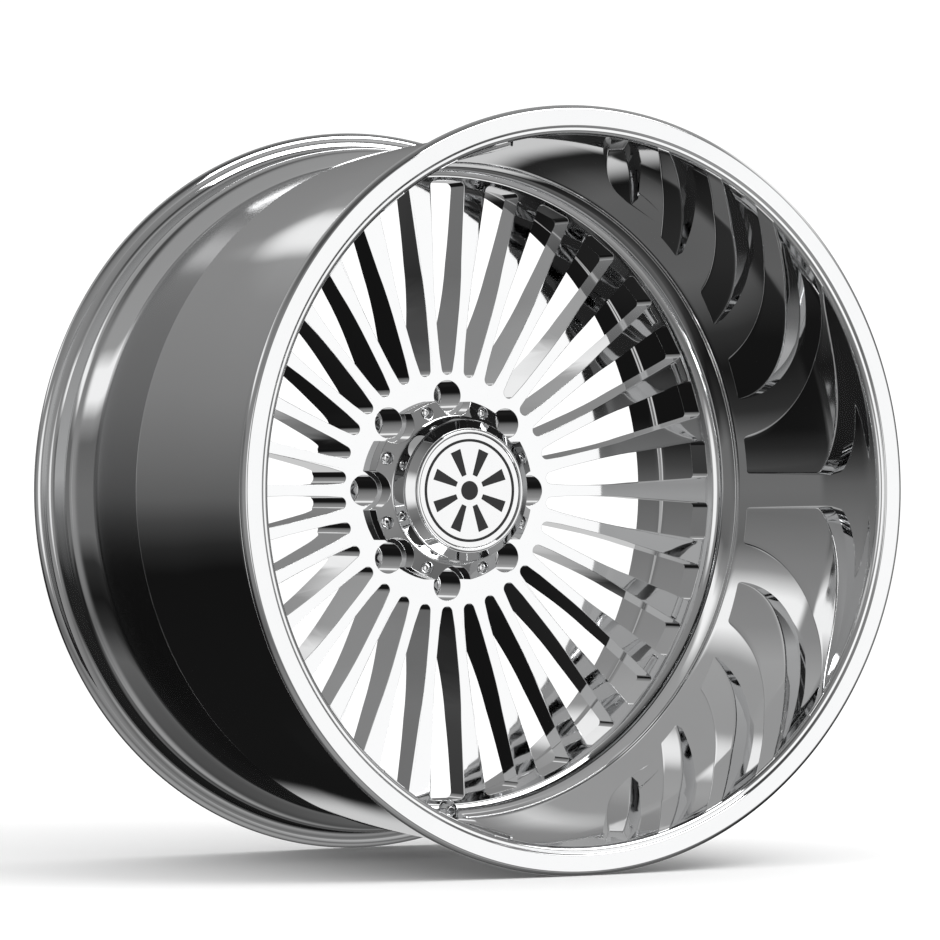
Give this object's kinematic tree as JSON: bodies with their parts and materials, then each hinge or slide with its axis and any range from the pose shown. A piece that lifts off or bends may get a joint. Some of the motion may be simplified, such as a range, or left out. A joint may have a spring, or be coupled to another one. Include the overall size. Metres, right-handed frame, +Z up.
{
  "type": "deep lip truck wheel",
  "caption": "Deep-lip polished forged truck wheel with straight flared spokes, raised scythe pads on the lip and a scalloped screw-on centre cap.",
  "frame": {"origin": "on the wheel axis, midway between the faces of the two rim flanges", "axes": "+Z up, wheel axis along Y, outboard (street) side towards -Y, inboard (hub) side towards +Y, +X to the right seen from outboard"},
  "size_m": [0.6979, 0.432, 0.698],
  "materials": {
    "polished_barrel": "mirror polished",
    "polished_centre": "mirror polished",
    "weld_metal": "as welded",
    "cap_chrome": "bright",
    "badge_face": "spun",
    "motif_enamel": "gloss",
    "foam_tape": "matt",
    "seal_rubber": "matt",
    "screw_steel": "bright",
    "valve_chrome": "bright",
    "core_brass": "satin",
    "core_gasket": "matt",
    "pin_steel": "satin"
  },
  "bodies": {
    "wheel": {"rim_barrel": "polished_barrel", "spoke_centre": "polished_centre", "weld_bead": "weld_metal", "cap_housing": "cap_chrome", "cap_bezel": "cap_chrome", "badge_plate": "badge_face", "badge_motif": "motif_enamel", "badge_adhesive": "foam_tape", "cap_o_ring": "seal_rubber", "cap_screws": "screw_steel", "valve_body": "valve_chrome", "valve_seal_washer": "seal_rubber", "valve_core_plug": "core_brass", "valve_core_body": "core_brass", "valve_core_gasket": "core_gasket", "valve_core_spring": "pin_steel"},
    "core_pin": {"valve_core_pin": "pin_steel", "valve_core_seal": "seal_rubber"},
    "cap_gasket": {"valve_cap_gasket": "seal_rubber"},
    "cap_shell": {"valve_cap": "valve_chrome"}
  },
  "joints": [
    {"name": "core_pin_press", "type": "slide", "parent": "wheel", "child": "core_pin", "axis": [0, 1, 0], "range_m": [0, 0.001], "stiffness_N_per_m": 600, "deforming": ["valve_core_spring"]},
    {"name": "valve_cap_lift", "type": "slide", "parent": "wheel", "child": "cap_gasket", "axis": [0, -1, 0], "range_m": [0, 0.0105]},
    {"name": "valve_cap_turn", "type": "hinge", "parent": "cap_gasket", "child": "cap_shell", "pos_m": [0, 0.0365, -0.3035], "axis": [0, -1, 0], "range_deg": [0, 4800]}
  ],
  "couplings": [
    {"joint": "valve_cap_turn", "follows": "valve_cap_lift", "rad_per_m": 7913.3}
  ]
}
